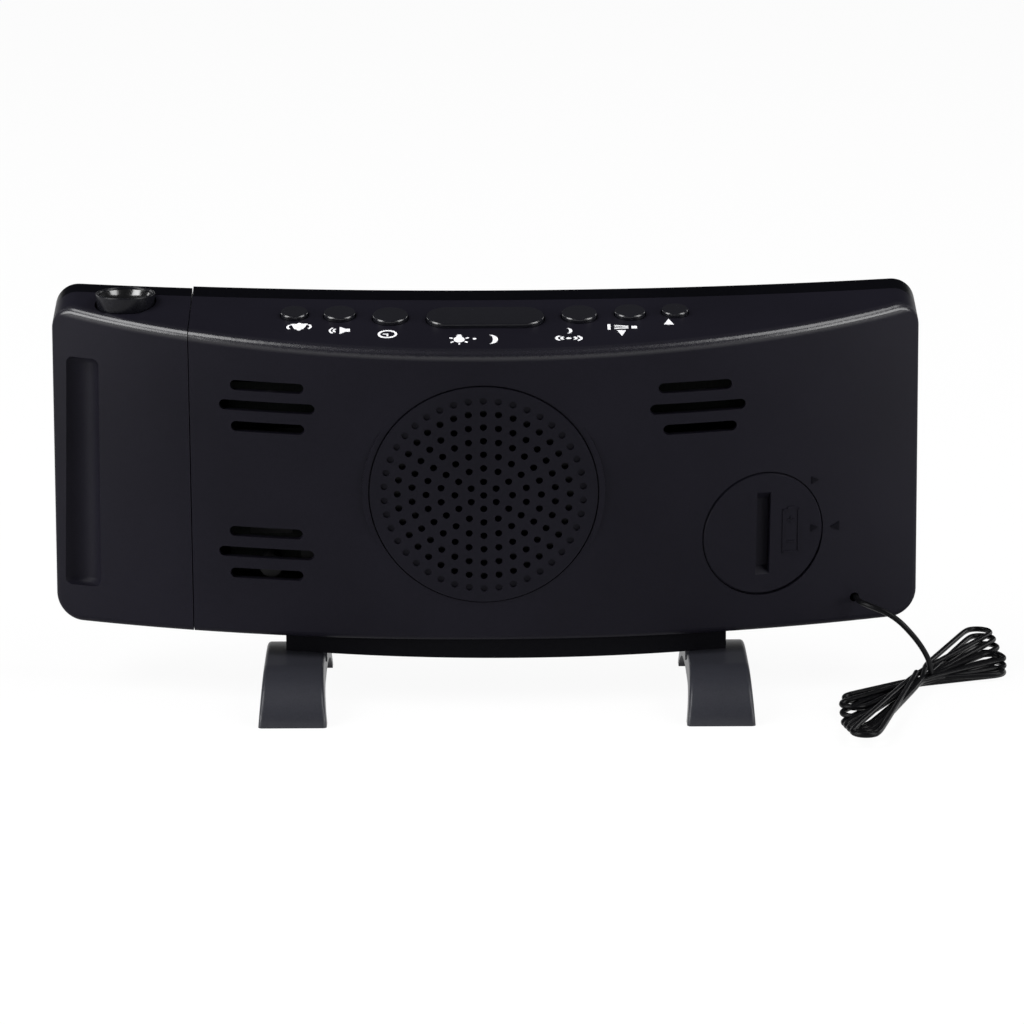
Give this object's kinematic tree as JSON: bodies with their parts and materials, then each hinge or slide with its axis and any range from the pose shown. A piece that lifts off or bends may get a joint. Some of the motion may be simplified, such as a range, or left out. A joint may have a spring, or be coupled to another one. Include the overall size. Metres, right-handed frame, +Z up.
{
  "type": "projection alarm clock",
  "caption": "Curved desk alarm clock on an arched stand, with a turning projector pod, a round speaker grille, top keys, a coin cell cover and a wire aerial.",
  "frame": {"origin": "on the floor, under the middle of the clock's bounding box without the aerial", "axes": "+Z up, the display faces -Y, +X runs from the middle to the projector pod"},
  "size_m": [0.2124, 0.0848, 0.0879],
  "materials": {
    "case": "fine matte texture",
    "front_trim": "glossy",
    "display_window": "glossy, smoked",
    "digits": "lit segments",
    "reflector": "matte",
    "circuit": "solder mask",
    "components": "matte",
    "keys": "satin",
    "grille": "fine matte texture",
    "speaker_metal": "black enamel",
    "magnet": "ferrite",
    "cone": "black paper",
    "cell": "brushed",
    "contact": "nickel plated",
    "ring": "glossy",
    "barrel": "matte",
    "optics": "polished",
    "lamp": "matte",
    "led": "clear tinted",
    "pivot": "matte",
    "steel": "zinc plated",
    "stand": "satin",
    "cord": "soft sheath"
  },
  "bodies": {
    "case": {"rear_cover": "case", "speaker_grille": "grille", "front_frame": "front_trim", "front_lens": "display_window", "digit_housing": "reflector", "digit_segments": "digits", "display_board": "circuit", "main_board": "circuit", "board_components": "components", "key_board": "circuit", "key_switches": "components", "speaker_basket": "speaker_metal", "speaker_magnet": "magnet", "speaker_cone": "cone", "speaker_dust_cap": "cone", "coin_cell": "cell", "contact_negative": "contact", "contact_positive": "contact", "foot_right": "stand", "foot_left": "stand", "stand_rail": "stand", "foot_screws": "steel", "rail_screws": "steel", "board_screws": "steel", "power_socket": "components", "antenna_lead": "cord", "antenna_hank": "cord"},
    "projector": {"pod_shell": "case", "pod_front": "front_trim", "pivot_spindle": "pivot", "friction_washer": "pivot", "snap_ring": "steel", "lamp_house": "lamp", "image_panel": "optics", "condenser_lens": "optics", "lamp_board": "circuit", "lamp_led": "led"},
    "ring": {"focus_ring": "ring"},
    "barrel": {"lens_barrel": "barrel", "projection_lens": "optics"},
    "cell_cover": {"battery_cover": "case"},
    "key_alarm": {"button_alarm": "keys"},
    "key_volume": {"button_volume": "keys"},
    "key_set": {"button_set": "keys"},
    "key_snooze": {"snooze_bar": "keys"},
    "key_radio": {"button_radio": "keys"},
    "key_project": {"button_project": "keys"},
    "key_down": {"button_down": "keys"}
  },
  "joints": [
    {"name": "projector_turn", "type": "hinge", "parent": "case", "child": "projector", "pos_m": [0.0642, -0.007, 0.051], "axis": [1, 0, 0], "range_deg": [-90, 90]},
    {"name": "focus_turn", "type": "hinge", "parent": "projector", "child": "ring", "pos_m": [0.0786, -0.0112, 0.0862], "axis": [0, 0, 1], "range_deg": [0, 180]},
    {"name": "focus_lift", "type": "slide", "parent": "projector", "child": "barrel", "axis": [0, 0, 1], "range_m": [0, 0.0015]},
    {"name": "battery_cover_turn", "type": "hinge", "parent": "case", "child": "cell_cover", "pos_m": [-0.06028, 0.00482, 0.03711], "axis": [-0.2932, 0.9551, -0.0421], "range_deg": [0, 45]},
    {"name": "alarm_press", "type": "slide", "parent": "case", "child": "key_alarm", "axis": [0, -0.2164, -0.9763], "range_m": [0, 0.0006], "stiffness_N_per_m": 500, "springref_m": -0.001},
    {"name": "volume_press", "type": "slide", "parent": "case", "child": "key_volume", "axis": [0, -0.2164, -0.9763], "range_m": [0, 0.0006], "stiffness_N_per_m": 500, "springref_m": -0.001},
    {"name": "set_press", "type": "slide", "parent": "case", "child": "key_set", "axis": [0, -0.2164, -0.9763], "range_m": [0, 0.0006], "stiffness_N_per_m": 500, "springref_m": -0.001},
    {"name": "snooze_press", "type": "slide", "parent": "case", "child": "key_snooze", "axis": [0, -0.2164, -0.9763], "range_m": [0, 0.0006], "stiffness_N_per_m": 500, "springref_m": -0.001},
    {"name": "radio_press", "type": "slide", "parent": "case", "child": "key_radio", "axis": [0, -0.2164, -0.9763], "range_m": [0, 0.0006], "stiffness_N_per_m": 500, "springref_m": -0.001},
    {"name": "project_press", "type": "slide", "parent": "case", "child": "key_project", "axis": [0, -0.2164, -0.9763], "range_m": [0, 0.0006], "stiffness_N_per_m": 500, "springref_m": -0.001},
    {"name": "down_press", "type": "slide", "parent": "case", "child": "key_down", "axis": [0, -0.2164, -0.9763], "range_m": [0, 0.0006], "stiffness_N_per_m": 500, "springref_m": -0.001}
  ],
  "couplings": [
    {"joint": "focus_turn", "follows": "focus_lift", "rad_per_m": 2094}
  ]
}
